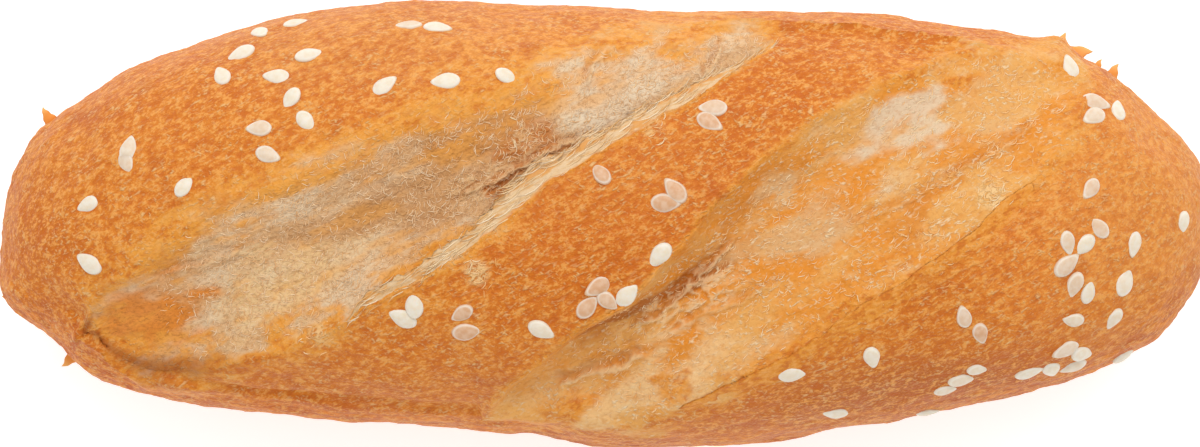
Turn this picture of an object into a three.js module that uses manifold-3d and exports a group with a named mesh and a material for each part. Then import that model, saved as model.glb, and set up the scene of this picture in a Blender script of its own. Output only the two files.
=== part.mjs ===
// Mini baguette: a short wheat roll with two slanting blade cuts that tore open in the oven, and sesame.
// Millimetres, +Z up. +X runs along the loaf, +Y to its back. The origin is on the ground under the middle.
import * as THREE from "three";
import { mergeVertices } from "three/addons/utils/BufferGeometryUtils.js";
import Module from "manifold-3d";

// Driving dimensions of the loaf
const loafLength = 150;
const bodyWidth = 54.2;
const loafHeight = 40;
const beltHeight = 15; // height of the widest line, where the tips are too

// Plan outline: a superellipse for each end, and a slow sway of the middle line
const leftEnd = { along: 2.2, across: 2.85 };
const rightEnd = { along: 2.45, across: 2.65 };
const sway = { reach: 0.93, wavelength: 76.2, start: -47.7, offset: 0.3 };

// Side view and cross-section
const crownEnds = { along: 2.5, across: 2.3 };
const footEnds = { along: 4, across: 2.4 };
const crownRoundness = 2.15; // 2 is an ellipse, more is boxier
const footRoundness = 2.6;
const footSink = 1.12; // the underside is this much deeper than the belt, and the ground cuts it flat

// Blade cuts: tail and head are the tips of the tear, back and front its half-widths at mid-length.
// Lean makes a side wider towards the head, or towards the tail if negative. Blunt and sharp are how it
// closes at the tail and at the head: 0 is square, 1 a straight point. A pinch narrows a side by a share,
// about one place from 0 at the tail to 1 at the head. The valley is deepest at keel, from -1 at the front
// edge to 1 at the back edge, and a larger slope makes that side's edge softer. The ear is the crust lip
// lifted along the front edge between two places.
const plain = { at: 0.5, reach: 0.1, share: 0 };
const cuts = [
  {
    tail: new THREE.Vector2(-61.5, -12.7),
    head: new THREE.Vector2(20.7, 22.2),
    back: { width: 9, lean: 0.9, blunt: 0.15, sharp: 0.5, slope: 1.6, pinch: plain },
    front: {
      width: 9.1, lean: -1.5, blunt: 0.45, sharp: 0.55, slope: 0.85,
      pinch: { at: 0.7, reach: 0.1, share: 0.24 },
    },
    depth: { most: 4.2, blunt: 0.45, sharp: 0.6 },
    keel: -0.35,
    ear: { from: 0.3, to: 0.97, rise: 0.6, overhang: 1.3 },
  },
  {
    tail: new THREE.Vector2(-12.7, -26),
    head: new THREE.Vector2(58.7, 18.8),
    back: {
      width: 12, lean: 1.5, blunt: 0.05, sharp: 0.5, slope: 1.1,
      pinch: { at: 0.27, reach: 0.16, share: 0.32 },
    },
    front: { width: 10.3, lean: 0, blunt: 0.5, sharp: 0.5, slope: 1, pinch: plain },
    depth: { most: 4.8, blunt: 0.4, sharp: 0.6 },
    keel: 0.45,
    ear: { from: 0.25, to: 0.8, rise: 0.7, overhang: 0.9 },
  },
];
const tearBrink = 0.25; // how far the floor of a tear is above the crust at its outline
const earRoot = 2.4; // from the edge of a cut to where its ear leaves the crust
const earEdge = 0.5; // thickness of the ear's free edge
const earWaves = { count: 5, depth: 0.3 };

// Sesame: a flat teardrop, and the short rows in which it fell, each from one place in plan to another.
// Turn is the heading of the first and of the last seed, in degrees from +X.
const seed = { length: 3.4, width: 2.3, thickness: 1.1, taper: 0.42, sunk: 0.1 };
const seedSizeSpread = 0.1;
const seedRows = {
  leftShoulder: [
    { from: [-46.2, 17.9], to: [-42.1, 23.4], count: 3, turn: [120, 300] },
    { from: [-39.4, 17.7], to: [-35.6, 12.2], count: 3, turn: [170, 310] },
    { from: [-41.2, 11.4], to: [-40.1, 8.2], count: 2, turn: [180, -20] },
    { from: [-35.6, 20.4], to: [-37.8, 24.6], count: 2, turn: [10, 20] },
  ],
  leftTip: [
    { from: [-57.3, 9], to: [-57.5, 7.3], count: 2, turn: [80, -60] },
    { from: [-50.2, 4.5], to: [-50.2, 4.5], count: 1, turn: [50, 50] },
    { from: [-62.3, 2.3], to: [-62.1, -4.8], count: 2, turn: [200, 150] },
  ],
  back: [
    { from: [-23.8, 24.1], to: [-20.2, 23.8], count: 2, turn: [180, -10] },
    { from: [-26.3, 16.5], to: [-11.6, 17.6], count: 3, turn: [40, 330] },
  ],
  ridge: [
    { from: [13, 13.8], to: [12.5, 12.1], count: 2, turn: [180, -30] },
    { from: [8.4, 3.9], to: [7.2, 2.4], count: 2, turn: [130, 0] },
    { from: [-0.4, 5.9], to: [-0.4, 5.9], count: 1, turn: [130, 130] },
    { from: [6.6, -3.8], to: [2.7, -8.5], count: 2, turn: [-130, 45] },
    { from: [-2, -9.9], to: [-0.7, -7.5], count: 2, turn: [50, 210] },
    { from: [0.4, -9.2], to: [-7.5, -12.7], count: 2, turn: [-40, -30] },
    { from: [-16.9, -10.7], to: [-16.4, -12.9], count: 2, turn: [-145, 10] },
    { from: [-22.6, -9.6], to: [-24, -11.3], count: 2, turn: [90, 155] },
  ],
  rightCap: [
    { from: [57, 19.1], to: [62.6, 13.8], count: 2, turn: [100, 70] },
    { from: [59.7, 14.7], to: [59.3, 13], count: 2, turn: [-10, 210] },
    { from: [58.5, 4.2], to: [59.5, -0.5], count: 2, turn: [-130, 135] },
    { from: [55.6, -2.3], to: [55.5, -5], count: 2, turn: [-75, 40] },
    { from: [57.7, -2.6], to: [56.7, -11.7], count: 2, turn: [-140, 165] },
    { from: [64.1, -2.5], to: [61.9, -11.6], count: 3, turn: [-100, 250] },
    { from: [56.6, -7.4], to: [58.4, -8.3], count: 2, turn: [-105, 85] },
    { from: [70.6, 0], to: [64.4, -16.2], count: 2, turn: [-100, 40] },
  ],
  rightFront: [
    { from: [51.8, -18.2], to: [57.4, -17.5], count: 3, turn: [15, -155] },
    { from: [56.1, -15.3], to: [58.3, -15.9], count: 2, turn: [-155, -20] },
    { from: [43.1, -11.2], to: [45.2, -13.2], count: 2, turn: [110, -70] },
    { from: [45.3, -17.7], to: [41.5, -20.3], count: 3, turn: [-10, 0] },
    { from: [39.8, -23.3], to: [28.1, -23.1], count: 2, turn: [0, 160] },
    { from: [32.1, -16.1], to: [22.5, -18.1], count: 2, turn: [-75, 5] },
  ],
};

// Crust flakes that stand out from the rim: place along the outline, side of the loaf, length and lean
const flakes = [
  { x: 56.8, side: 1, length: 2.2, lean: 0 },
  { x: 58.2, side: 1, length: 2.4, lean: 1.1 },
  { x: 61.4, side: 1, length: 1.5, lean: 0.3 },
  { x: 63.4, side: 1, length: 2.1, lean: 0.3 },
  { x: -69.5, side: 1, length: 1.8, lean: -0.7 },
  { x: -73.6, side: -1, length: 2.2, lean: -1.4 },
  { x: -66.4, side: -1, length: 1.9, lean: -0.6 },
];
const flakeBase = 1.8;
const flakeThickness = 0.6;
const flakeRoot = 1.4; // how deep a flake starts inside the crust

// Facets
const stations = 76;
const ringSteps = { crown: 26, foot: 12 };
const tipCrowding = 1.4; // more than 1 draws the stations towards the tips
const tearSteps = { along: 36, across: 10 };
const tearLid = 5; // how far above the crust the solid that cuts the tear reaches
const earSteps = 26;
const seedFacets = { around: 6, along: 3 };

const halfLength = loafLength / 2;

function signedPower(value, power) {
  return Math.sign(value) * Math.abs(value) ** power;
}

// 1 at mid-loaf and 0 at a tip, where s runs from -1 to 1 along the loaf
function endRounding(s, ends) {
  return Math.max(0, 1 - Math.abs(s) ** ends.along) ** (1 / ends.across);
}

function halfWidthAt(x) {
  const s = x / halfLength;
  return (bodyWidth / 2) * endRounding(s, s < 0 ? leftEnd : rightEnd);
}

function middleLineAt(x) {
  return sway.offset + sway.reach * Math.sin((2 * Math.PI * (x - sway.start)) / sway.wavelength);
}

// A closed surface through rings of points, ending in a point at each end
function loft(start, rings, end) {
  const ring = rings[0].length;
  const points = [start, ...rings.flat(), end];
  const last = points.length - 1;
  const faces = [];
  for (let j = 0; j < ring; j++) {
    const next = (j + 1) % ring;
    faces.push(0, 1 + next, 1 + j);
    for (let here = 1; here + ring < last; here += ring) {
      const there = here + ring;
      faces.push(here + j, here + next, there + next);
      faces.push(here + j, there + next, there + j);
    }
    faces.push(last, last - ring + j, last - ring + next);
  }
  return new THREE.BufferGeometry().setFromPoints(points).setIndex(faces);
}

// A point on the uncut loaf. angle goes round the section: 0 at the back, a quarter turn at the crown, half
// at the front and three quarters under the foot.
function loafPoint(x, angle) {
  const s = x / halfLength;
  const onCrown = Math.sin(angle) >= 0;
  const rise = onCrown
    ? (loafHeight - beltHeight) * endRounding(s, crownEnds)
    : beltHeight * footSink * endRounding(s, footEnds);
  const power = 2 / (onCrown ? crownRoundness : footRoundness);
  const y = middleLineAt(x) + halfWidthAt(x) * signedPower(Math.cos(angle), power);
  const z = beltHeight + rise * signedPower(Math.sin(angle), power);
  return new THREE.Vector3(x, y, Math.max(0, z));
}

function loafGeometry() {
  const angles = [];
  for (let i = 0; i < ringSteps.crown; i++) angles.push((Math.PI * i) / ringSteps.crown);
  for (let i = 0; i < ringSteps.foot; i++) angles.push(Math.PI * (1 + i / ringSteps.foot));
  const rings = [];
  for (let i = 1; i < stations; i++) {
    const t = (2 * i) / stations - 1;
    const x = halfLength * Math.sign(t) * (1 - (1 - Math.abs(t)) ** tipCrowding);
    rings.push(angles.map((angle) => loafPoint(x, angle)));
  }
  return loft(loafPoint(-halfLength, 0), rings, loafPoint(halfLength, 0));
}

// The crust at a place in plan, sunk along the section's normal
function crustPoint(place, sunk) {
  const halfWidth = halfWidthAt(place.x);
  const outward = THREE.MathUtils.clamp((place.y - middleLineAt(place.x)) / halfWidth, -1, 1);
  const angle = Math.acos(signedPower(outward, crownRoundness / 2));
  const rise = (loafHeight - beltHeight) * endRounding(place.x / halfLength, crownEnds);
  const inward = new THREE.Vector3(0, -Math.cos(angle) / halfWidth, -Math.sin(angle) / rise).normalize();
  return loafPoint(place.x, angle).addScaledVector(inward, sunk);
}

// 1 at mid-length of a tear, and 0 at its tail and head
function tearRun(t, ends) {
  return (2 * t) ** ends.blunt * (2 - 2 * t) ** ends.sharp;
}

// A place in plan by a cut's own measures: t from 0 at its tail to 1 at its head, q from -1 at its front edge
// to 1 at its back edge, then so far beyond that edge towards the back
function placeInCut(cut, t, q, beyond = 0) {
  const axis = cut.head.clone().sub(cut.tail);
  const side = q > 0 ? cut.back : cut.front;
  const pinched = 1 - side.pinch.share * Math.exp(-(((t - side.pinch.at) / side.pinch.reach) ** 2));
  const halfWidth = side.width * tearRun(t, side) * (1 + side.lean * (t - 0.5)) * pinched;
  const backward = new THREE.Vector2(-axis.y, axis.x).normalize();
  return cut.tail.clone().addScaledVector(axis, t).addScaledVector(backward, q * halfWidth + beyond);
}

// How far the floor of a tear lies under the crust. It comes out of the crust just inside the leaf's outline.
function cutDepth(cut, t, q) {
  const r = (q - cut.keel) / (q > cut.keel ? 1 - cut.keel : 1 + cut.keel);
  const slope = q > cut.keel ? cut.back.slope : cut.front.slope;
  return cut.depth.most * tearRun(t, cut.depth) * Math.max(0, 1 - r * r) ** slope - tearBrink;
}

// The solid whose underside is the floor of a tear, wider steps in its middle and finer ones at its edges
function tearGeometry(cut) {
  const rings = [];
  for (let i = 1; i < tearSteps.along; i++) {
    const t = 0.5 - 0.5 * Math.cos((Math.PI * i) / tearSteps.along);
    const ring = [];
    for (let j = 0; j <= tearSteps.across; j++) {
      const q = Math.sin(Math.PI * (j / tearSteps.across - 0.5));
      ring.push(crustPoint(placeInCut(cut, t, q), cutDepth(cut, t, q)));
    }
    for (const q of [1, 0.4, -0.4, -1]) ring.push(crustPoint(placeInCut(cut, t, q), -tearLid));
    rings.push(ring);
  }
  return loft(crustPoint(cut.tail, -tearLid / 2), rings, crustPoint(cut.head, -tearLid / 2));
}

// The lifted lip: a wedge rooted in the crust outside the front edge and in the wall of the tear
function earGeometry(cut) {
  const { from, to, rise, overhang } = cut.ear;
  const rings = [];
  for (let i = 1; i < earSteps; i++) {
    const share = i / earSteps;
    const t = from + (to - from) * share;
    const wave = 1 + earWaves.depth * Math.sin(2 * Math.PI * earWaves.count * share);
    const lift = Math.sqrt(Math.sin(Math.PI * share)) * wave;
    const tip = placeInCut(cut, t, -1, overhang * lift);
    rings.push([
      crustPoint(placeInCut(cut, t, -1, -earRoot), 0.3),
      crustPoint(placeInCut(cut, t, -0.9), cutDepth(cut, t, -0.9) + 0.6),
      crustPoint(tip, earEdge - rise * lift),
      crustPoint(tip, -rise * lift),
    ]);
  }
  return loft(crustPoint(placeInCut(cut, from, -1), 0.8), rings, crustPoint(placeInCut(cut, to, -1), 0.8));
}

// A flat teardrop lying along +X, blunt behind and drawn to a point in front
function seedGeometry() {
  const drop = new THREE.SphereGeometry(1, seedFacets.around, seedFacets.along).rotateZ(-Math.PI / 2);
  const corners = drop.getAttribute("position");
  for (let i = 0; i < corners.count; i++) {
    const narrowing = 1 - seed.taper * Math.max(0, corners.getX(i));
    corners.setXYZ(
      i,
      (corners.getX(i) * seed.length) / 2,
      (corners.getY(i) * narrowing * seed.width) / 2,
      (corners.getZ(i) * seed.thickness) / 2,
    );
  }
  return drop;
}

// Where the seeds of a row lie and point, each sized by its place
function seedsOf(row) {
  return Array.from({ length: row.count }, (_, i) => {
    const share = i / Math.max(1, row.count - 1);
    const x = THREE.MathUtils.lerp(row.from[0], row.to[0], share);
    const y = THREE.MathUtils.lerp(row.from[1], row.to[1], share);
    const heading = THREE.MathUtils.degToRad(THREE.MathUtils.lerp(row.turn[0], row.turn[1], share));
    return { x, y, heading, size: 1 + seedSizeSpread * Math.sin(2.3 * x - 1.1 * y) };
  });
}

function placedSeed(geometry, surface, place) {
  const above = new THREE.Vector3(place.x, place.y, 2 * loafHeight);
  const hit = new THREE.Raycaster(above, new THREE.Vector3(0, 0, -1)).intersectObject(surface)[0];
  const lie = new THREE.Quaternion().setFromUnitVectors(new THREE.Vector3(0, 0, 1), hit.face.normal);
  lie.multiply(new THREE.Quaternion().setFromAxisAngle(new THREE.Vector3(0, 0, 1), place.heading));
  const centre = hit.point.clone().addScaledVector(hit.face.normal, -seed.sunk);
  const size = new THREE.Vector3(place.size, place.size, place.size);
  return geometry.clone().applyMatrix4(new THREE.Matrix4().compose(centre, lie, size));
}

// A thin four-sided spike that leaves the rim at belt height
function flakeGeometry(flake) {
  const spike = new THREE.ConeGeometry(flakeBase, flake.length + flakeRoot, 4, 1);
  spike.scale(1, 1, flakeThickness / flakeBase);
  spike.translate(0, (flake.length - flakeRoot) / 2, 0);
  spike.rotateZ(-flake.lean);
  if (flake.side < 0) spike.rotateZ(Math.PI + 2 * flake.lean);
  const rim = middleLineAt(flake.x) + flake.side * halfWidthAt(flake.x);
  return spike.translate(flake.x, rim, beltHeight);
}

const wasm = await Module();
wasm.setup();

function solidFrom(geometry) {
  const bare = geometry.clone();
  bare.deleteAttribute("normal");
  bare.deleteAttribute("uv");
  const merged = mergeVertices(bare);
  return new wasm.Manifold(
    new wasm.Mesh({
      numProp: 3,
      vertProperties: merged.getAttribute("position").array,
      triVerts: new Uint32Array(merged.getIndex().array),
    }),
  );
}

function geometryFrom(solid) {
  const mesh = solid.getMesh();
  return new THREE.BufferGeometry()
    .setAttribute("position", new THREE.BufferAttribute(mesh.vertProperties, 3))
    .setIndex(new THREE.BufferAttribute(mesh.triVerts, 1));
}

// The loaf, torn along its cuts, then everything baked onto it, fused into one solid
let baked = solidFrom(loafGeometry());
for (const cut of cuts) baked = baked.subtract(solidFrom(tearGeometry(cut)));
for (const cut of cuts) baked = baked.add(solidFrom(earGeometry(cut)));
const bareCrust = new THREE.Mesh(geometryFrom(baked));
const drop = seedGeometry();
const sprinkled = Object.values(seedRows).flat().flatMap(seedsOf);
for (const place of sprinkled) baked = baked.add(solidFrom(placedSeed(drop, bareCrust, place)));
for (const flake of flakes) baked = baked.add(solidFrom(flakeGeometry(flake)));

const bakedGeometry = geometryFrom(baked);
bakedGeometry.computeVertexNormals();
const crust = new THREE.MeshStandardMaterial({ color: 0xd8883f, roughness: 0.55, metalness: 0 });
const loaf = new THREE.Mesh(bakedGeometry, crust);
loaf.name = "loaf";

const miniBaguette = new THREE.Group();
miniBaguette.add(loaf);

export default miniBaguette;
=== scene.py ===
import math
from types import SimpleNamespace

import bpy
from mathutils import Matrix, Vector


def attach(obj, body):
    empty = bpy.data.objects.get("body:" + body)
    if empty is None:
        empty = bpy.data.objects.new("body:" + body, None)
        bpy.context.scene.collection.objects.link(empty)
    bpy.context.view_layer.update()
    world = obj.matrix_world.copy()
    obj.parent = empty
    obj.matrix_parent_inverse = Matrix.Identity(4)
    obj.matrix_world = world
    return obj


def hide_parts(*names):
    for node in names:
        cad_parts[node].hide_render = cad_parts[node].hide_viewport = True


# mini baguette: baked crust, two torn cuts, lips of crust, sesame and flakes, seen from straight above
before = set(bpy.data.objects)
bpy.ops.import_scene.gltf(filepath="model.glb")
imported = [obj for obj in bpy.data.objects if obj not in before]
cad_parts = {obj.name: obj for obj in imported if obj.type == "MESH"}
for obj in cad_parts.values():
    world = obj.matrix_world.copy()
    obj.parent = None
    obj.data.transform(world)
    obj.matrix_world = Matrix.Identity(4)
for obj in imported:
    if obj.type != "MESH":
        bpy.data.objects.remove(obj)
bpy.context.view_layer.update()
scene = bpy.context.scene
scene.view_settings.view_transform = "Standard"
print("frame loaded")


# a Field is a node socket, so that the loaf's formulas read as formulas
class Field:
    def __init__(self, tree, socket):
        self.tree = tree
        self.socket = socket

    def __neg__(self):
        return calc(self.tree, "MULTIPLY", self, -1.0)

    def signed(self, power):
        return self.sign() * self.size() ** power

    def hill(self, centre, reach):  # 1 at the centre, fading to 0
        return calc(self.tree, "EXPONENT", -(((self - centre) / reach).size() ** 2.0))

    def fade(self, start, end):  # smooth step from 0 to 1
        steps = {"Value": self, "From Min": start, "From Max": end}
        node = addNode(self.tree, "ShaderNodeMapRange", steps, interpolation_type="SMOOTHSTEP")
        return Field(self.tree, node.outputs["Result"])


# puts Fields, sockets or plain values into a node's inputs, by name or number
def feedAll(node, inputs):
    for slot, value in inputs.items():
        source = value.socket if isinstance(value, Field) else value
        if isinstance(source, bpy.types.NodeSocket):
            node.id_data.links.new(source, node.inputs[slot])
        else:
            node.inputs[slot].default_value = source


def addNode(tree, kind, inputs=None, **settings):
    node = tree.nodes.new(kind)
    for key, value in settings.items():
        setattr(node, key, value)
    feedAll(node, inputs or {})
    return node


def calc(tree, operation, *values):
    node = addNode(tree, "ShaderNodeMath", dict(enumerate(values)), operation=operation)
    return Field(tree, node.outputs[0])


# sums that a Field takes part in, and those that it comes second in
fieldSums = {
    "__add__": "ADD", "__sub__": "SUBTRACT", "__mul__": "MULTIPLY", "__truediv__": "DIVIDE",
    "__pow__": "POWER", "sin": "SINE", "cos": "COSINE", "root": "SQRT", "size": "ABSOLUTE", "sign": "SIGN",
    "atLeast": "MAXIMUM", "atMost": "MINIMUM", "above": "GREATER_THAN",
}
secondSums = {"__radd__": "ADD", "__rsub__": "SUBTRACT", "__rmul__": "MULTIPLY", "__rtruediv__": "DIVIDE"}
for sumName, sumKind in fieldSums.items():
    setattr(Field, sumName, lambda field, *others, kind=sumKind: calc(field.tree, kind, field, *others))
for sumName, sumKind in secondSums.items():
    setattr(Field, sumName, lambda field, other, kind=sumKind: calc(field.tree, kind, other, field))


def pick(test, yes, no):
    return no + (yes - no) * test


def joinAxes(tree, x, y, z):
    return Field(tree, addNode(tree, "ShaderNodeCombineXYZ", {0: x, 1: y, 2: z}).outputs[0])


def splitAxes(vector):
    node = addNode(vector.tree, "ShaderNodeSeparateXYZ", {0: vector})
    return [Field(vector.tree, socket) for socket in node.outputs]


# grain of a given size in metres, 0 to 1; the seed moves it to another part of the pattern
def grain(place, size, seed, detail=2.0, rough=0.5, warp=0.0):
    tree = place.tree
    away = (0.31 * seed, 0.17 * seed, 0.23 * seed)
    shift = addNode(tree, "ShaderNodeVectorMath", {0: place, 1: away})
    node = addNode(tree, "ShaderNodeTexNoise", {
        "Vector": shift.outputs[0], "Scale": 1.0 / size, "Detail": detail, "Roughness": rough,
        "Distortion": warp,
    })
    return Field(tree, node.outputs[0])


# the same grain swinging to both sides of nought; reach is from side to side
def swing(place, reach, *pattern):
    return (grain(place, *pattern) - 0.5) * reach


# sharp crests where the grain passes its middle value
def crests(place, size, seed, detail=2.0, rough=0.5, warp=0.0):
    return 1.0 - (grain(place, size, seed, detail, rough, warp) - 0.5).size() * 5.0


# ways that the torn patterns and the crust's cells run, in degrees
cutsHeading = 25.0
ridgeHeading = 27.0


# the place turned about Z and drawn out along its new X, for patterns that run one way
def drawnPlace(place, degrees, stretch):
    x, y, z = splitAxes(place)
    turn = math.radians(degrees)
    along = x * math.cos(turn) + y * math.sin(turn)
    across = y * math.cos(turn) - x * math.sin(turn)
    return joinAxes(place.tree, along / stretch, across, z)


# a tree with one named input for every size of every group, and the same as Fields
def sizedTree(name, **groups):
    tree = bpy.data.node_groups.new(name, "GeometryNodeTree")
    tree.is_modifier = True
    tree.interface.new_socket("Mesh", in_out="INPUT", socket_type="NodeSocketGeometry")
    for group, sizes in groups.items():
        for key in sizes:
            tree.interface.new_socket(f"{group} {key}", in_out="INPUT", socket_type="NodeSocketFloat")
    tree.interface.new_socket("Mesh", in_out="OUTPUT", socket_type="NodeSocketGeometry")
    entry = addNode(tree, "NodeGroupInput")
    fields = {
        group: SimpleNamespace(**{key: Field(tree, entry.outputs[f"{group} {key}"]) for key in sizes})
        for group, sizes in groups.items()
    }
    return tree, entry.outputs[0], SimpleNamespace(**fields)


# values kept on a mesh's points, three at a time as a vector, and read again
def keepField(mesh, name, value, kind="FLOAT"):
    inputs = {0: mesh, "Name": name, "Value": value}
    node = addNode(mesh.id_data, "GeometryNodeStoreNamedAttribute", inputs, data_type=kind, domain="POINT")
    return node.outputs[0]


def keepThree(mesh, name, *values):
    return keepField(mesh, name, joinAxes(mesh.id_data, *values), "FLOAT_VECTOR")


def keptField(tree, name, kind="FLOAT"):
    node = addNode(tree, "GeometryNodeInputNamedAttribute", {"Name": name}, data_type=kind)
    return Field(tree, node.outputs[0])


def keptThree(tree, name):
    return splitAxes(keptField(tree, name, "FLOAT_VECTOR"))


def placeOf(tree):
    return Field(tree, addNode(tree, "GeometryNodeInputPosition").outputs[0])


def movePoints(mesh, place):
    return addNode(mesh.id_data, "GeometryNodeSetPosition", {0: mesh, "Position": place}).outputs[0]


# moves the points along the surface's own outward direction
def raisePoints(mesh, lift):
    tree = mesh.id_data
    outward = splitAxes(Field(tree, addNode(tree, "GeometryNodeInputNormal").outputs[0]))
    offset = joinAxes(tree, *[axis * lift for axis in outward])
    return addNode(tree, "GeometryNodeSetPosition", {0: mesh, "Offset": offset}).outputs[0]


# a grid with u along it and v across it, both 0 to 1
def sheetGrid(tree, along, across):
    node = addNode(tree, "GeometryNodeMeshGrid", {"Vertices X": along, "Vertices Y": across})
    u, v, _ = splitAxes(Field(tree, node.outputs["UV Map"]))
    return node.outputs["Mesh"], u, v


def joinSeams(mesh, reach=0.000002):
    return addNode(mesh.id_data, "GeometryNodeMergeByDistance", {0: mesh, "Distance": reach}).outputs[0]


def finishTree(mesh, material):
    tree = mesh.id_data
    mesh = addNode(tree, "GeometryNodeSetShadeSmooth", {0: mesh}).outputs[0]
    mesh = addNode(tree, "GeometryNodeRealizeInstances", {0: mesh}).outputs[0]
    mesh = addNode(tree, "GeometryNodeSetMaterial", {0: mesh, "Material": material}).outputs[0]
    addNode(tree, "NodeGroupOutput", {0: mesh})
    return tree


# runs a tree and leaves a plain mesh at the origin, riding on the loaf's body
def makePiece(name, tree, startMesh=None, **groups):
    piece = bpy.data.objects.new(name, startMesh or bpy.data.meshes.new(name))
    scene.collection.objects.link(piece)
    modifier = piece.modifiers.new(name, "NODES")
    modifier.node_group = tree
    numbers = {f"{group} {key}": value for group, sizes in groups.items() for key, value in sizes.items()}
    for item in tree.interface.items_tree:
        if item.in_out == "INPUT" and item.name in numbers:
            modifier[item.identifier] = float(numbers[item.name])
    shaped = piece.evaluated_get(bpy.context.evaluated_depsgraph_get())
    mesh = bpy.data.meshes.new_from_object(shaped)
    piece.modifiers.remove(modifier)
    piece.data = mesh
    mesh.name = name
    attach(piece, "root")
    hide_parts("loaf")
    triangles = sum(len(face.vertices) - 2 for face in mesh.polygons)
    print(f"{name}: {triangles} triangles")
    return piece


# a paint from the colour that it shows in this studio's light
lightLevel = 1.15
glossLevel = 0.02


def tint(colour):
    channels = [value / 255.0 for value in colour]
    linear = [c / 12.92 if c <= 0.04045 else ((c + 0.055) / 1.055) ** 2.4 for c in channels]
    return tuple(max(value - glossLevel, 0.002) / lightLevel for value in linear) + (1.0,)


def blend(amount, under, over):
    under, over = [colour if isinstance(colour, Field) else tint(colour) for colour in (under, over)]
    node = addNode(amount.tree, "ShaderNodeMix", {0: amount, 6: under, 7: over}, data_type="RGBA")
    return Field(amount.tree, node.outputs[2])


def shade(colour, amount):  # darkens or lightens a colour by a factor
    node = addNode(colour.tree, "ShaderNodeVectorMath", {0: colour, "Scale": amount}, operation="SCALE")
    return Field(colour.tree, node.outputs[0])


# soft spots of colour: middle and reach along a, then along b, strength and colour
def paintSpots(colour, a, b, spots):
    for middleA, reachA, middleB, reachB, strength, spotColour in spots.values():
        amount = a.hill(middleA, reachA) * b.hill(middleB, reachB)
        colour = blend(amount.fade(0.1, 0.8) * strength, colour, spotColour)
    return colour


def newMaterial(name):
    material = bpy.data.materials.new(name)
    material.use_nodes = True
    tree = material.node_tree
    shader = tree.nodes["Principled BSDF"]
    place = Field(tree, addNode(tree, "ShaderNodeTexCoord").outputs["Object"])
    return material, tree, shader, place


# what a mesh keeps, read by its paint
def readField(tree, name, output="Fac"):
    return Field(tree, addNode(tree, "ShaderNodeAttribute", attribute_name=name).outputs[output])


def readThree(tree, name):
    return splitAxes(readField(tree, name, "Vector"))


def roughen(shader, height, strength, reach):
    inputs = {"Strength": strength, "Distance": reach, "Height": height}
    bump = addNode(height.tree, "ShaderNodeBump", inputs)
    feedAll(shader, {"Normal": bump.outputs[0]})


# the loaf's form, in metres; the ends are superellipses and the cuts are leaf-shaped valleys
loafSizes = {
    "length": 0.150, "width": 0.0542, "height": 0.040, "belt": 0.015,
    "leftAlong": 2.2, "leftAcross": 2.85, "rightAlong": 2.45, "rightAcross": 2.65,
    "swayReach": 0.00093, "swayWave": 0.0762, "swayStart": -0.0477, "swayOffset": 0.0003,
    "crownAlong": 2.5, "crownAcross": 2.3, "footAlong": 4.0, "footAcross": 2.4,
    "crownRound": 2.15, "footRound": 2.6, "footSink": 1.12, "wholeRim": 0.905,
}
cutOneSizes = {
    "tailX": -0.0615, "tailY": -0.0127, "headX": 0.0207, "headY": 0.0222,
    "backWidth": 0.0090, "backLean": 0.9, "backBlunt": 0.15, "backSharp": 0.5, "backSlope": 1.6,
    "backPinch": 0.0, "backPinchAt": 0.5, "backPinchReach": 0.1,
    "frontWidth": 0.0091, "frontLean": -1.5, "frontBlunt": 0.45, "frontSharp": 0.55, "frontSlope": 0.85,
    "frontPinch": 0.24, "frontPinchAt": 0.7, "frontPinchReach": 0.1,
    "depth": 0.0042, "depthBlunt": 0.45, "depthSharp": 0.6, "keel": -0.35, "brink": 0.00025,
}
cutTwoSizes = {
    "tailX": -0.0127, "tailY": -0.0260, "headX": 0.0587, "headY": 0.0188,
    "backWidth": 0.0120, "backLean": 1.5, "backBlunt": 0.05, "backSharp": 0.5, "backSlope": 1.1,
    "backPinch": 0.32, "backPinchAt": 0.27, "backPinchReach": 0.16,
    "frontWidth": 0.0103, "frontLean": 0.0, "frontBlunt": 0.5, "frontSharp": 0.5, "frontSlope": 1.0,
    "frontPinch": 0.0, "frontPinchAt": 0.5, "frontPinchReach": 0.1,
    "depth": 0.0048, "depthBlunt": 0.4, "depthSharp": 0.6, "keel": 0.45, "brink": 0.00025,
}
reliefSizes = {
    "lumps": 0.0007, "blisters": 0.00020, "grit": 0.00007, "streaks": 0.00035, "ragged": 0.0012,
    "underlay": 0.0007, "crease": 0.0007, "creaseHeight": 0.0275, "fold": 0.0009, "foldHeight": 0.0262,
    "rim": 0.0009,
}
# places where the outline is fuller or slacker than its plain curve: x, y, reach and push outwards
dents = {
    "leftShoulder": (-0.0670, 0.0155, 0.0070, -0.0010), "leftBrow": (-0.0735, 0.0060, 0.0055, -0.0010),
    "leftChin": (-0.0740, -0.0085, 0.0040, 0.0008), "leftJaw": (-0.0690, -0.0155, 0.0045, -0.0011),
    "frontLeft": (-0.0180, -0.0265, 0.0090, -0.0006), "frontNotch": (-0.0085, -0.0270, 0.0036, -0.0007),
    "frontBelly": (0.0020, -0.0275, 0.0060, 0.0003), "backSlack": (0.0420, 0.0250, 0.0085, -0.0009),
    "backCorner": (0.0562, 0.0222, 0.0023, 0.0014), "rightCheek": (0.0690, 0.0130, 0.0050, -0.0010),
    "rightChin": (0.0725, -0.0100, 0.0040, -0.0007),
}


def endRounding(s, along, across):
    return (1.0 - s.size() ** along).atLeast(0.0) ** (1.0 / across)


def halfWidthAt(loaf, x):
    s = x / (loaf.length / 2.0)
    onRight = s.above(0.0)
    along = pick(onRight, loaf.rightAlong, loaf.leftAlong)
    across = pick(onRight, loaf.rightAcross, loaf.leftAcross)
    return loaf.width / 2.0 * endRounding(s, along, across)


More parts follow.
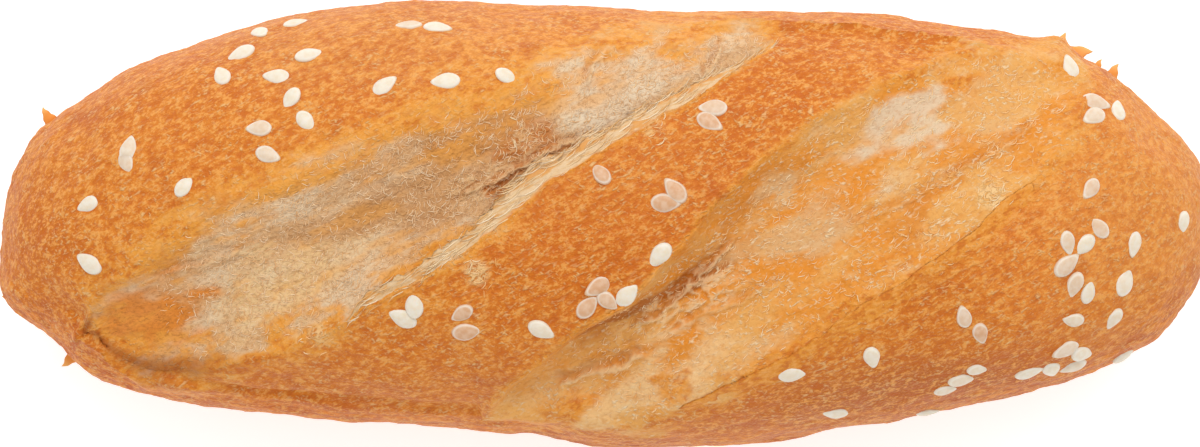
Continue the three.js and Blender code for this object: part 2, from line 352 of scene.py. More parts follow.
def middleLineAt(loaf, x):
    turn = (x - loaf.swayStart) / loaf.swayWave * (2.0 * math.pi)
    return loaf.swayOffset + loaf.swayReach * turn.sin()


def crownRiseAt(loaf, x):
    s = x / (loaf.length / 2.0)
    return (loaf.height - loaf.belt) * endRounding(s, loaf.crownAlong, loaf.crownAcross)


# outward direction of the section, from the cosine and sine of its angle
def sectionNormal(halfWidth, rise, outward, upward):
    ny = outward / halfWidth.atLeast(0.001)
    nz = upward / rise.atLeast(0.001)
    reach = (ny * ny + nz * nz).root().atLeast(0.001)
    return ny / reach, nz / reach


# the uncut crust over a place in plan, kept inside the outline, and its outward direction
def crustOver(loaf, x, y):
    halfWidth = halfWidthAt(loaf, x)
    middle = middleLineAt(loaf, x)
    out = ((y - middle) / halfWidth.atLeast(0.0001)).atLeast(-0.99).atMost(0.99)
    outward = out.signed(loaf.crownRound / 2.0)
    upward = (1.0 - outward * outward).atLeast(0.0).root()
    rise = crownRiseAt(loaf, x)
    ny, nz = sectionNormal(halfWidth, rise, outward, upward)
    return middle + halfWidth * out, loaf.belt + rise * upward ** (2.0 / loaf.crownRound), ny, nz


# distance in plan from the band of crust that is left whole along the outline
def insideRim(loaf, x, y):
    return halfWidthAt(loaf, x) * loaf.wholeRim - (y - middleLineAt(loaf, x)).size()


# half-widths of a cut at t, behind and in front of its middle line
def cutWidths(cut, t):
    def side(width, lean, blunt, sharp):
        return width * (2.0 * t) ** blunt * (2.0 - 2.0 * t) ** sharp * (1.0 + lean * (t - 0.5))

    back = side(cut.backWidth, cut.backLean, cut.backBlunt, cut.backSharp)
    front = side(cut.frontWidth, cut.frontLean, cut.frontBlunt, cut.frontSharp)
    backPinch = 1.0 - cut.backPinch * t.hill(cut.backPinchAt, cut.backPinchReach)
    frontPinch = 1.0 - cut.frontPinch * t.hill(cut.frontPinchAt, cut.frontPinchReach)
    return back * backPinch, front * frontPinch


farOff = 0.02  # distance from a cut's edge that counts as nowhere near it
cutTip = 0.0005  # share of a cut's length


def cutAxis(cut):
    axisX, axisY = cut.headX - cut.tailX, cut.headY - cut.tailY
    return axisX, axisY, (axisX * axisX + axisY * axisY).root()


def withinCut(run):  # keeps clear of the very tips
    return run.atLeast(cutTip).atMost(1.0 - cutTip)


# the place in plan that is t along a cut and some way across it
def cutPlace(cut, t, across):
    axisX, axisY, length = cutAxis(cut)
    return cut.tailX + axisX * t - axisY / length * across, cut.tailY + axisY * t + axisX / length * across


# a cut's own measures at a place in plan: t along it, q across it, distance in from its edge, depth
def cutMeasures(cut, x, y, rim):
    axisX, axisY, length = cutAxis(cut)
    px, py = x - cut.tailX, y - cut.tailY
    run = (px * axisX + py * axisY) / (length * length)
    across = (axisX * py - axisY * px) / length
    t = withinCut(run)
    back, front = cutWidths(cut, t)
    width = pick(across.above(0.0), back, front).atLeast(0.00005)
    q = (across / width).atLeast(-3.0).atMost(3.0)
    beyondEnd = (-run).atLeast(run - 1.0).atLeast(0.0) * length
    edge = (width - across.size() - beyondEnd * 1.4).atMost(rim)
    behindKeel = q.above(cut.keel)
    r = (q - cut.keel) / pick(behindKeel, 1.0 - cut.keel, 1.0 + cut.keel)
    slope = pick(behindKeel, cut.backSlope, cut.frontSlope)
    deepest = cut.depth * (2.0 * t) ** cut.depthBlunt * (2.0 - 2.0 * t) ** cut.depthSharp
    depth = (deepest * (1.0 - r * r).atLeast(0.0) ** slope - cut.brink).atLeast(0.0)
    inRun = run.above(0.0) * (1.0 - run.above(1.0)) * rim.fade(0.0, 0.003)
    return SimpleNamespace(t=t, q=q, edge=edge, depth=depth * inRun)


# torn edges wander a little from their plain lines, alike on the crust and on the crumb
def wanderAt(tree, relief, x, y):
    plan = joinAxes(tree, x, y, 0.0)
    return [
        axis + swing(plan, relief.ragged * 2.0, 0.006, seed, 3.0)
        for axis, seed in ((x, 3), (y, 4))
    ]


# slow tones kept on the mesh: those of the crust, those that run with the cuts, and what loosens borders
def keepTones(mesh):
    place = placeOf(mesh.id_data)
    drawn = drawnPlace(place, cutsHeading, 2.4)
    broad = grain(place, 0.016, 11)
    blotch = grain(place, 0.0050, 12, 3.0, 0.55)
    dust = grain(place, 0.003, 20)
    patch = grain(drawn, 0.0050, 21, 4.0, 0.6)
    wash = grain(drawn, 0.0030, 28, 3.0, 0.6)
    tongues = grain(drawnPlace(place, cutsHeading, 3.4), 0.0032, 26, 3.0, 0.6)
    tuft = grain(drawn, 0.0013, 22, 3.0, 0.65)
    streaks = grain(drawnPlace(place, cutsHeading, 5.0), 0.0017, 29, 3.0, 0.6)
    looseT = swing(drawn, 0.35, 0.0060, 24, 3.0, 0.6)
    looseQ = swing(drawn, 2.2, 0.0055, 25, 3.0, 0.6)
    lobes = (patch - 0.5) * 0.016 + (streaks - 0.5) * 0.009 + (tuft - 0.5) * 0.004
    mesh = keepThree(mesh, "bakedTones", broad, blotch, dust)
    mesh = keepThree(mesh, "tornTones", patch, wash, tongues)
    return keepThree(mesh, "loose", looseT, looseQ, lobes)


# a thick rim of crust round the tail of the first cut, and a painted shadow line in the crevice inside it
def pocketRim(cut):
    aroundTail = cut.t.fade(0.20, 0.06) * cut.q.fade(0.9, 0.4)
    return aroundTail * cut.edge.hill(-0.0012, 0.0012), aroundTail * cut.edge.hill(0.0005, 0.0009)


# lumps and dents everywhere, blisters on the crown, streaks, a crease and a fold along the flanks
def crustRelief(tree, relief):
    place = placeOf(tree)
    x, y, z = splitAxes(place)
    lumps = swing(place, relief.lumps * 2.0, 0.010, 5)
    blisters = swing(place, relief.blisters * 2.0, 0.0019, 6, 2.0, 0.6)
    grit = swing(drawnPlace(place, ridgeHeading, 1.6), relief.grit * 2.0, 0.0007, 2, 1.0)
    drawn = drawnPlace(place, 0.0, 8.0)
    streaks = swing(drawn, relief.streaks * 2.0, 0.0018, 7) * z.fade(0.027, 0.016)
    wave = swing(drawn, 0.006, 0.0030, 17)
    leftFront = y.fade(-0.003, -0.012) * x.fade(-0.072, -0.062) * x.fade(-0.002, -0.018)
    crease = (z + wave).hill(relief.creaseHeight, 0.0010) - (z + wave).hill(0.0215, 0.0045) * 0.7
    rightBack = y.fade(0.003, 0.012) * x.fade(0.008, 0.016) * x.fade(0.056, 0.046)
    fold = (z + wave).hill(relief.foldHeight, 0.0008)
    lift = lumps + blisters + grit + streaks
    lift = lift - crease * leftFront * relief.crease + fold * rightBack * relief.fold
    for dentX, dentY, reach, push in dents.values():
        lift = lift + x.hill(dentX, reach) * y.hill(dentY, reach) * push
    return lift * z.fade(0.0004, 0.004)


def buildLoafTree(material):
    stations, around, crownShare, tipCrowding = 380, 262, 0.74, 1.4
    tree, _, sizes = sizedTree(
        "loafForm", loaf=loafSizes, cutOne=cutOneSizes, cutTwo=cutTwoSizes, relief=reliefSizes
    )
    loaf, relief = sizes.loaf, sizes.relief
    mesh, u, v = sheetGrid(tree, stations, around)
    run = u * 2.0 - 1.0
    s = run.sign() * (1.0 - (1.0 - run.size()).atLeast(0.0) ** tipCrowding)
    x = s * loaf.length / 2.0
    overCrown = (v / crownShare).atMost(1.0)
    underFoot = ((v - crownShare) / (1.0 - crownShare)).atLeast(0.0)
    angle = (overCrown + underFoot) * math.pi
    upward, outward = angle.sin(), angle.cos()
    onCrown = 1.0 - v.above(crownShare)
    halfWidth = halfWidthAt(loaf, x)
    footRise = loaf.belt * loaf.footSink * endRounding(s, loaf.footAlong, loaf.footAcross)
    rise = pick(onCrown, crownRiseAt(loaf, x), footRise)
    power = 2.0 / pick(onCrown, loaf.crownRound, loaf.footRound)
    y = middleLineAt(loaf, x) + halfWidth * outward.signed(power)
    z = (loaf.belt + rise * upward.signed(power)).atLeast(0.0)
    ny, nz = sectionNormal(halfWidth, rise, outward, upward)

    # the cuts sink the crown, a little further than the crumb that lies in them
    tornX, tornY = wanderAt(tree, relief, x, y)
    rim = insideRim(loaf, tornX, tornY)
    one = cutMeasures(sizes.cutOne, tornX, tornY, rim)
    two = cutMeasures(sizes.cutTwo, tornX, tornY, rim)
    under = one.edge.atLeast(two.edge).fade(0.0003, 0.0018) * relief.underlay
    sunk = (one.depth + two.depth + under) * onCrown
    mesh = movePoints(mesh, joinAxes(tree, x, y - ny * sunk, z - nz * sunk))
    offCrown = farOff * (1.0 - onCrown)
    for name, cut in (("cutOne", one), ("cutTwo", two)):
        mesh = keepThree(mesh, name, cut.t, cut.q, cut.edge - offCrown)
    mesh = keepField(mesh, "rim", pocketRim(one)[0] * onCrown)
    mesh = addNode(tree, "GeometryNodeFlipFaces", {0: joinSeams(mesh)}).outputs[0]
    mesh = raisePoints(mesh, crustRelief(tree, relief) + keptField(tree, "rim") * relief.rim)
    x, y, z = splitAxes(placeOf(tree))
    mesh = movePoints(mesh, joinAxes(tree, x, y, z.atLeast(0.0)))  # flat where it lay
    return finishTree(keepTones(mesh), material)


# crust: a fine skin of orange and golden cells; gilded where it thins towards a cut
crustColours = {
    "golden": (248, 174, 92), "deep": (206, 104, 34), "russet": (192, 92, 38), "gilded": (246, 168, 68),
    # the fleck and flour tones also serve as painted glints
    "fleckAndGlint": (248, 200, 138), "flourAndGlints": (253, 226, 184), "flank": (198, 94, 18), "flankLight": (242, 144, 40),
    # the crevice tone is a painted shadow line under the pocket's rim
    "creviceShadow": (150, 74, 22), "film": (252, 210, 150), "base": (219, 121, 40), "baseLight": (230, 138, 54),
}
# broad tones of the crust, along x then y; the darker front right is painted shade
crustSpots = {
    "ridge": (0.004, 0.020, 0.001, 0.011, 0.30, (216, 114, 42)),
    "rightMid": (0.052, 0.010, -0.002, 0.012, 0.6, (244, 150, 66)),
    "rightCap": (0.066, 0.014, 0.003, 0.015, 0.55, (245, 162, 80)),
    "leftBack": (-0.026, 0.020, 0.021, 0.006, 0.4, (240, 166, 88)),
    # painted shade on the front flank, which faces away from the key light
    "frontRightShade": (0.044, 0.024, -0.022, 0.006, 0.7, (188, 100, 42)),
}


def crustTone(place, gilt):
    x, y, z = splitAxes(place)
    drawn = drawnPlace(place, ridgeHeading, 1.5)
    broad, blotch, _ = readThree(place.tree, "bakedTones")
    cells = grain(drawn, 0.0009, 13, 3.0, 0.65)
    grit = grain(drawn, 0.00034, 14, 2.0, 0.6)
    base = blend(broad.fade(0.3, 0.7), crustColours["base"], crustColours["baseLight"])
    colour = paintSpots(base, x, y, crustSpots)
    colour = blend(gilt, colour, crustColours["gilded"])
    streak = grain(drawnPlace(place, 0.0, 7.0), 0.0012, 16, 3.0, 0.6)
    flank = blend(streak.fade(0.35, 0.65), crustColours["flank"], crustColours["flankLight"])
    flank = shade(flank, 1.0 + x.fade(0.0, -0.02) * 0.12)
    # the streaked flank crust, low all round and higher on the front only, where it is also painted shade
    # for the flank that faces away from the key
    flankAndShade = z.fade(0.030, 0.021) * y.fade(-0.002, -0.012) + z.fade(0.019, 0.010)
    colour = blend(flankAndShade.atMost(1.0) * 0.85, colour, flank)
    dark = cells.fade(0.54, 0.36) * (0.6 - x.fade(0.046, 0.058) * 0.2)
    colour = blend(dark, colour, crustColours["deep"])
    speckle = 0.85 - x.hill(0.004, 0.022) * y.hill(0.001, 0.012) * 0.2
    colour = blend((cells * 0.55 + grit * 0.45).fade(0.49, 0.61) * speckle, colour, crustColours["golden"])
    colour = blend(blotch.fade(0.42, 0.28) * 0.4, colour, crustColours["russet"])
    return colour, cells * 0.9 + grit * 0.8, cells


# flour, tiny hairs of skin and painted glints: short pale strokes that lie two ways
def flourAndGlintsAt(place):
    _, _, dust = readThree(place.tree, "bakedTones")
    rising = grain(drawnPlace(place, 30.0, 2.6), 0.00038, 18, 1.0).fade(0.56, 0.74)
    falling = grain(drawnPlace(place, -25.0, 1.8), 0.00036, 19, 1.0).fade(0.58, 0.76)
    return rising.atLeast(falling) * (0.35 + dust.fade(0.42, 0.64) * 0.65)


# the woolly cut and the golden cut: soft spots along t and across q, some of them painted light and painted
# shade
woolColours = {
    "wool": (230, 184, 134), "pale": (238, 208, 170), "gold": (248, 176, 82), "tongue": (246, 170, 76),
    "gap": (168, 104, 52),
}
woolSpots = {
    # painted shade in the middle of the first cut's trough
    "hollow": (0.47, 0.15, 0.05, 0.60, 0.75, (206, 150, 98)),
    "amberBack": (0.58, 0.10, 0.55, 0.45, 0.80, (216, 144, 74)),
    # the next two: painted light where the trough faces the key light
    "lowPaintedLight": (0.26, 0.12, -0.50, 0.40, 0.60, (252, 212, 152)),
    "upperPaintedLight": (0.82, 0.12, 0.25, 0.50, 0.70, (243, 222, 192)),
    "tailGrey": (0.18, 0.06, 0.35, 0.30, 0.50, (240, 204, 158)),
    # painted shade where the cut is deepest and pinched
    "pinchShade": (0.635, 0.040, -0.20, 0.60, 0.85, (204, 118, 50)),
    "pocket": (0.04, 0.08, -0.20, 0.90, 0.90, (236, 140, 50)),
}
goldColours = {
    # the crest tone is a painted highlight
    "gold": (241, 176, 98), "amber": (239, 152, 60), "cream": (242, 198, 142), "crest": (250, 212, 162),
    # the gap tone darkens the felt's gaps and also paints shade in the crinkles' hollows
    "gap": (200, 118, 46),
}
goldSpots = {
    "tail": (0.06, 0.07, 0.10, 0.70, 0.60, (252, 188, 110)),
    "lowCream": (0.22, 0.10, -0.60, 0.40, 0.65, (254, 214, 158)),
    # the next three: painted shade along the crease, on the steep back wall and over the deepest floor of
    # the second cut
    "creaseShade": (0.29, 0.11, 0.40, 0.30, 0.85, (180, 98, 38)),
    "backWallShade": (0.45, 0.16, 0.85, 0.22, 0.55, (232, 148, 66)),
    "deepFloorShade": (0.41, 0.07, 0.50, 0.30, 0.60, (222, 166, 110)),
    "creamFloor": (0.52, 0.08, 0.20, 0.35, 0.65, (228, 182, 132)),
    "white": (0.72, 0.055, 0.50, 0.30, 0.85, (236, 212, 180)),
    "paleTop": (0.84, 0.06, 0.40, 0.30, 0.50, (234, 176, 110)),
    "browAmber": (0.72, 0.12, -0.25, 0.18, 0.65, (224, 134, 46)),
}


def cutReading(tree, name):
    t, q, edge = readThree(tree, name)
    return SimpleNamespace(t=t, q=q, edge=edge)


def woolTone(cut, loose):
    colour = blend(loose.wash.fade(0.42, 0.62), woolColours["wool"], woolColours["pale"])
    colour = paintSpots(colour, cut.t + loose.t, cut.q + loose.q, woolSpots)
    tongues = loose.tongues.fade(0.50, 0.64) * (1.0 - cut.edge.fade(0.001, 0.007) * 0.5)
    colour = blend(tongues * 0.85, colour, woolColours["tongue"])
    return blend(loose.gaps * 0.4, colour, woolColours["gap"])


def goldTone(cut, loose):
    colour = blend(loose.patch.fade(0.4, 0.6), goldColours["amber"], goldColours["gold"])
    colour = blend(loose.wash.fade(0.52, 0.66) * 0.6, colour, goldColours["cream"])
    colour = paintSpots(colour, cut.t + loose.t, cut.q + loose.q, goldSpots)
    return blend(loose.gaps * 0.3, colour, goldColours["gap"])


# where scraps gather: x, y, reach and how thickly
scrapPlaces = {
    "leftFront": (-0.0341, -0.0133, 0.0020, 1.1), "lipLow": (-0.0229, -0.0065, 0.0018, 0.8),
    "ridgeLeft": (-0.0152, -0.0059, 0.0016, 1.6), "lipHigh": (-0.0098, 0.0103, 0.0020, 0.8),
    "lipSpike": (0.0057, 0.0116, 0.0022, 0.8), "apron": (0.0045, -0.0196, 0.0022, 0.6),
    "bellyLow": (0.0318, -0.0080, 0.0030, 0.5), "bellyMiddle": (0.0390, -0.0014, 0.0028, 0.7),
    "bellyTuft": (0.0462, 0.0034, 0.0018, 1.8), "bellyHigh": (0.0478, 0.0090, 0.0025, 0.6),
}


def scrapsAt(place):
    x, y, z = splitAxes(place)
    share = 0.0
    for placeX, placeY, reach, thickly in scrapPlaces.values():
        share = share + x.hill(placeX, reach) * y.hill(placeY, reach) * thickly
    return share * z.fade(0.015, 0.020)  # on the crown only


# one paint for crust and crumb, so that the crust turns to gold and then to crumb with no seam
def buildBreadPaint():
    material, tree, shader, place = newMaterial("bakedBread")
    one, two = cutReading(tree, "cutOne"), cutReading(tree, "cutTwo")
    patch, wash, tongues = readThree(tree, "tornTones")
    looseT, looseQ, lobes = readThree(tree, "loose")
    felt = grain(drawnPlace(place, cutsHeading, 1.5), 0.00042, 27, 2.0, 0.7)
    gaps = felt.fade(0.54, 0.30)
    loose = SimpleNamespace(patch=patch, wash=wash, tongues=tongues, t=looseT, q=looseQ, gaps=gaps)

    # soft golden borders, but for the ridge between the cuts, whose crust goes up to the edge
    softOne = one.q.fade(-0.2, 0.2).atLeast(one.t.fade(0.62, 0.40))
    softTwo = two.q.fade(0.2, -0.2).atLeast(two.t.fade(0.70, 0.88))
    giltOne = ((one.edge + lobes * softOne * 0.7) / (0.0008 + softOne * 0.0038)).fade(-1.0, 0.15)
    giltTwo = ((two.edge + lobes * softTwo * 0.5) / (0.0010 + softTwo * 0.0020)).fade(-1.0, 0.15)
    colour, relief, cells = crustTone(place, giltOne.atLeast(giltTwo) * 0.65)
    reachOne = one.edge + lobes * (0.35 + softOne * 0.65)
    inOne = reachOne.fade(0.0002, 0.0014 + softOne * (0.0018 + one.q.fade(-0.4, 0.4) * 0.0018))
    inTwo = (two.edge + lobes * (0.4 + softTwo * 0.6)).fade(-0.0006, 0.0012 + softTwo * 0.0018)
    colour = blend(reachOne.fade(-0.0010, 0.0010) * 0.4, colour, woolColours["gold"])
    colour = blend(inTwo, colour, goldTone(two, loose))
    # pale strokes of flour and skin, which also stand in as painted glints
    flourAndGlints = flourAndGlintsAt(place)
    fleckAndGlint = blend(inTwo, crustColours["fleckAndGlint"], crustColours["flourAndGlints"])
    colour = blend(flourAndGlints * (0.75 + inTwo * 0.1), colour, fleckAndGlint)
    colour = blend(inOne, colour, woolTone(one, loose))
    # painted shadow in the hollows beside the crinkles
    colour = blend(readField(tree, "hollow") * 0.4, colour, goldColours["gap"])
    # painted highlight along the crests of the crinkles and folds
    colour = blend(readField(tree, "crest") * 0.6, colour, goldColours["crest"])
    # painted shadow in the crevice under the rim round the first cut's tail
    colour = blend(pocketRim(one)[1] * 0.65, colour, crustColours["creviceShadow"])
    web = crests(drawnPlace(place, cutsHeading, 1.5), 0.0009, 46, 2.0, 0.6, 0.8).fade(0.40, 0.85)
    film = scrapsAt(place).fade(0.3, 1.2) * (0.1 + web * 0.9)
    colour = blend(film * 0.8, colour, crustColours["film"])
    torn = inOne.atLeast(inTwo * 0.6)
    _, _, height = splitAxes(place)
    feedAll(shader, {
        "Base Color": colour, "Roughness": 0.36 + cells * 0.2 + torn * 0.3,
        "Specular IOR Level": 0.08 + height.fade(0.012, 0.030) * 0.18,  # flanks are duller
    })
    roughen(shader, relief * (1.0 - torn) + felt * torn * 0.7 + flourAndGlints * 0.4 + film * 0.6, 0.7, 0.0004)
    return material


breadPaint = buildBreadPaint()
breadPieces = [
    makePiece(
        "loafCrust", buildLoafTree(breadPaint),
        loaf=loafSizes, cutOne=cutOneSizes, cutTwo=cutTwoSizes, relief=reliefSizes,
    )
]


# crumb torn open in the cuts: a fine sheet that dives under the crust at its edges
crumbSizes = {"margin": 0.0018, "dive": 0.7, "crinkle": 0.0006, "crinkleWidth": 0.00034, "wobble": 0.0035}
# felt and fibre everywhere, and tissue folded up about one place of the cut
crumbOneRelief = {
    "felt": 0.00050, "fibre": 0.00014, "fold": 0.0007, "foldT": 0.60, "foldRunT": 0.09, "foldQ": -0.25,
    "foldRunQ": 0.40,
}
crumbTwoRelief = {
    "felt": 0.00050, "fibre": 0.00010, "fold": 0.0006, "foldT": 0.32, "foldRunT": 0.11, "foldQ": 0.15,
    "foldRunQ": 0.40,
}
# long crinkles of skin: from t and q to t and q, and how strong
crinkles = {
    "cutOne": {
        "tongue": (0.10, 0.30, 0.24, 0.10, 0.5), "pleat": (0.52, -0.30, 0.72, -0.10, 0.8),
        "sill": (0.74, 0.56, 0.80, 0.90, 0.7), "squiggle": (0.895, 0.0, 0.935, 0.42, 0.9),
    },
    "cutTwo": {
        "apron": (0.09, -0.02, 0.24, -0.34, 1.0), "flap": (0.22, 0.08, 0.45, 0.60, 1.0),
        "ripple": (0.27, -0.18, 0.46, -0.24, 0.6), "brow": (0.56, -0.08, 0.93, -0.30, 0.6),
    },
}


# sharp little folds where the tissue was pushed together, with a painted highlight along their crests
def foldsAt(tree, torn, own, along, across):
    crest = crests(joinAxes(tree, along / 2.0, across, 0.0), 0.0026, 8, 3.0, 0.6, 0.8).atLeast(0.0)
    where = own.t.hill(torn.foldT, torn.foldRunT) * own.q.hill(torn.foldQ, torn.foldRunQ)
    return crest * where, crest.fade(0.72, 0.95) * where.fade(0.25, 0.6)


# a crinkle's ridge, and the hollow on the side that faces the back of the loaf; the hollow is also painted
# in shade
def crinklesAt(crumb, name, own, plan, halfWidth):
    wobble = swing(plan, crumb.wobble, 0.005, 37, 4.0, 0.65)
    ridge, hollow = 0.0, 0.0
    for startT, startQ, stopT, stopQ, strength in crinkles[name].values():
        share = (own.t - startT) / (stopT - startT)
        off = (own.q - startQ - share * (stopQ - startQ)) * halfWidth + wobble
        ends = share.fade(0.0, 0.15) * share.fade(1.0, 0.85) * strength
        ridge = ridge + (off / crumb.crinkleWidth).hill(0.0, 1.0) * ends
        hollow = hollow + (off / crumb.crinkleWidth).hill(2.2, 1.6) * ends
    return ridge, hollow


def buildCrumbTree(name, otherName, material):
    alongSteps, acrossSteps = 420, 116
    tree, _, sizes = sizedTree(
        name, loaf=loafSizes, cut=cutOneSizes, relief=reliefSizes, crumb=crumbSizes, torn=crumbOneRelief
    )
    loaf, cut, crumb, torn = sizes.loaf, sizes.cut, sizes.crumb, sizes.torn
    mesh, u, v = sheetGrid(tree, alongSteps, acrossSteps)
    _, _, length = cutAxis(cut)
    past = crumb.margin / length
    run = u * (1.0 + past * 2.0) - past
    side = v * 2.0 - 1.0
    back, front = cutWidths(cut, withinCut(run))
    halfWidth = pick(side.above(0.0), back, front)
    across = side * (halfWidth + crumb.margin)
    x, y = cutPlace(cut, run, across)
    tornX, tornY = wanderAt(tree, sizes.relief, x, y)
    own = cutMeasures(cut, tornX, tornY, insideRim(loaf, tornX, tornY))
    y, z, ny, nz = crustOver(loaf, x, y)
    sunk = own.depth + (-own.edge).atLeast(0.0) * crumb.dive
    mesh = movePoints(mesh, joinAxes(tree, x, y - ny * sunk, z - nz * sunk))
    mesh = keepThree(mesh, name, own.t, own.q, own.edge)
    mesh = keepThree(mesh, otherName, 0.0, 0.0, -farOff)
    fold, foldHighlight = foldsAt(tree, torn, own, run * length, across)
    ridge, hollow = crinklesAt(crumb, name, own, joinAxes(tree, x, y, 0.0), halfWidth)
    mesh = keepField(mesh, "fold", fold * torn.fold + (ridge - hollow * 0.6) * crumb.crinkle)
    # where the crests take a painted highlight
    mesh = keepField(mesh, "crest", foldHighlight.atLeast(ridge.fade(0.35, 0.9)))
    mesh = keepField(mesh, "hollow", hollow.atMost(1.0))
    mesh = joinSeams(mesh)

    place = placeOf(tree)
    inside = keptThree(tree, name)[2].fade(-0.0004, 0.0025)
    felt = swing(place, torn.felt * 2.0, 0.0030, 9, 3.0, 0.6)
    fibre = swing(place, torn.fibre * 2.0, 0.00045, 10, 2.0, 0.6, 1.5)
    mesh = raisePoints(mesh, (felt + keptField(tree, "fold") + fibre) * inside)
    return finishTree(keepTones(mesh), material)


for crumbName, cutName, otherCut, cutSizes, crumbRelief in (
    ("crumbOne", "cutOne", "cutTwo", cutOneSizes, crumbOneRelief),
    ("crumbTwo", "cutTwo", "cutOne", cutTwoSizes, crumbTwoRelief),
):
    crumbPiece = makePiece(
        crumbName, buildCrumbTree(cutName, otherCut, breadPaint),
        loaf=loafSizes, cut=cutSizes, relief=reliefSizes, crumb=crumbSizes, torn=crumbRelief,
    )
    breadPieces.append(crumbPiece)


# lips: strips of crust that stand along a cut's edge and hang over it; start and stop are negative along
# the front edge and positive along the back edge, and 0 is the cut's tail
lipSizes = {
    "ridgeLip": {
        "start": -0.32, "stop": -0.995, "root": 0.0009, "overhang": 0.0030, "rise": -0.0008,
        "sunk": 0.0003, "thickness": 0.0005, "pale": 0.20,
    },
    "ridgeLayer": {
        "start": -0.46, "stop": -0.95, "root": -0.0012, "overhang": 0.0040, "rise": -0.0020,
        "sunk": 0.0013, "thickness": 0.0005, "pale": 0.25,
    },
    "bellyLip": {
        "start": -0.24, "stop": -0.84, "root": 0.0018, "overhang": 0.0008, "rise": 0.0001,
        "sunk": 0.0003, "thickness": 0.0004, "pale": 1.1,
    },
}
lipColours = {
    "cream": (240, 210, 168), "straw": (228, 186, 132), "amber": (232, 160, 80), "under": (204, 128, 58),
}


def buildLipTree(material):
    alongSteps, aroundSteps = 300, 17
    tree, _, sizes = sizedTree(
        "crustLip", loaf=loafSizes, cut=cutOneSizes, relief=reliefSizes, lip=lipSizes["ridgeLip"]
    )
    loaf, cut, lip = sizes.loaf, sizes.cut, sizes.lip
    mesh, u, v = sheetGrid(tree, alongSteps, aroundSteps)
    edgeRun = lip.start + (lip.stop - lip.start) * u
    t = withinCut(edgeRun.size())
    back, front = cutWidths(cut, t)
    across = pick(edgeRun.above(0.0), back, -front)
    plainX, plainY = cutPlace(cut, t, across)
    tornX, tornY = wanderAt(tree, sizes.relief, plainX, plainY)
    edgeX, edgeY = plainX * 2.0 - tornX, plainY * 2.0 - tornY

    # inwards is towards the cut's middle line, a little ahead
    axisX, axisY, length = cutAxis(cut)
    ahead = 0.02 * length
    inX = axisX / length * ahead + axisY / length * across
    inY = axisY / length * ahead - axisX / length * across
    inReach = (inX * inX + inY * inY).root()
    ends = ((u * math.pi).sin().atLeast(0.0)) ** 0.5
    edgePlan = joinAxes(tree, edgeX, edgeY, 0.0)
    ragged = grain(edgePlan, 0.0060, 41, 4.0, 0.65).fade(0.25, 0.75)
    lift = ends * (0.5 + ragged * 0.9)
    onTop = 1.0 - v.above(0.5)
    out = 1.0 - (v * 2.0 - 1.0).size()
    reach = -lip.root + (lip.root + lip.overhang * lift) * out
    x = edgeX + inX / inReach * reach
    y = edgeY + inY / inReach * reach
    y, z, ny, nz = crustOver(loaf, x, y)
    body = lip.thickness * (1.0 - out * 0.6) * pick(onTop, 0.5, -0.5) * (1.0 - out ** 8.0)
    height = lip.rise * lift * out ** 1.4 - lip.sunk * (1.0 - out) + body * ends
    mesh = movePoints(mesh, joinAxes(tree, x, y + ny * height, z + nz * height))
    mesh = keepThree(mesh, "lip", out, onTop, lip.pale)
    mesh = joinSeams(mesh)
    crinkle = swing(drawnPlace(placeOf(tree), ridgeHeading, 2.5), 0.0003, 0.0011, 42, 3.0, 0.6)
    mesh = raisePoints(mesh, crinkle)
    return finishTree(keepTones(mesh), material)


def buildLipPaint():
    material, tree, shader, place = newMaterial("crustLip")
    out, onTop, pale = readThree(tree, "lip")
    loose = swing(drawnPlace(place, ridgeHeading, 3.0), 0.5, 0.0016, 43, 3.0, 0.6)
    colour, relief, cells = crustTone(place, loose.fade(-0.3, 0.2) * 0.8)
    streak = grain(drawnPlace(place, ridgeHeading, 6.0), 0.0004, 44, 3.0, 0.6)
    skin = blend(streak.fade(0.36, 0.6), lipColours["straw"], lipColours["cream"])
    layer = grain(drawnPlace(place, 31.0, 5.0), 0.0013, 45, 3.0, 0.6)
    skin = blend(layer.fade(0.50, 0.60) * 0.8, skin, lipColours["amber"])
    colour = blend((out + loose - pale).fade(0.0, 0.2) * 0.9, colour, skin)
    colour = blend((1.0 - onTop) * 0.7, colour, lipColours["under"])
    feedAll(shader, {"Base Color": colour, "Roughness": 0.4 + cells * 0.25, "Specular IOR Level": 0.28})
    roughen(shader, relief + streak, 0.6, 0.0003)
    return material


lipTree = buildLipTree(buildLipPaint())
lipPieces = []
for lipName, lipOf in lipSizes.items():
    lipCut = cutTwoSizes if lipName == "bellyLip" else cutOneSizes
    lipPiece = makePiece(lipName, lipTree, loaf=loafSizes, cut=lipCut, relief=reliefSizes, lip=lipOf)
    lipPieces.append(lipPiece)


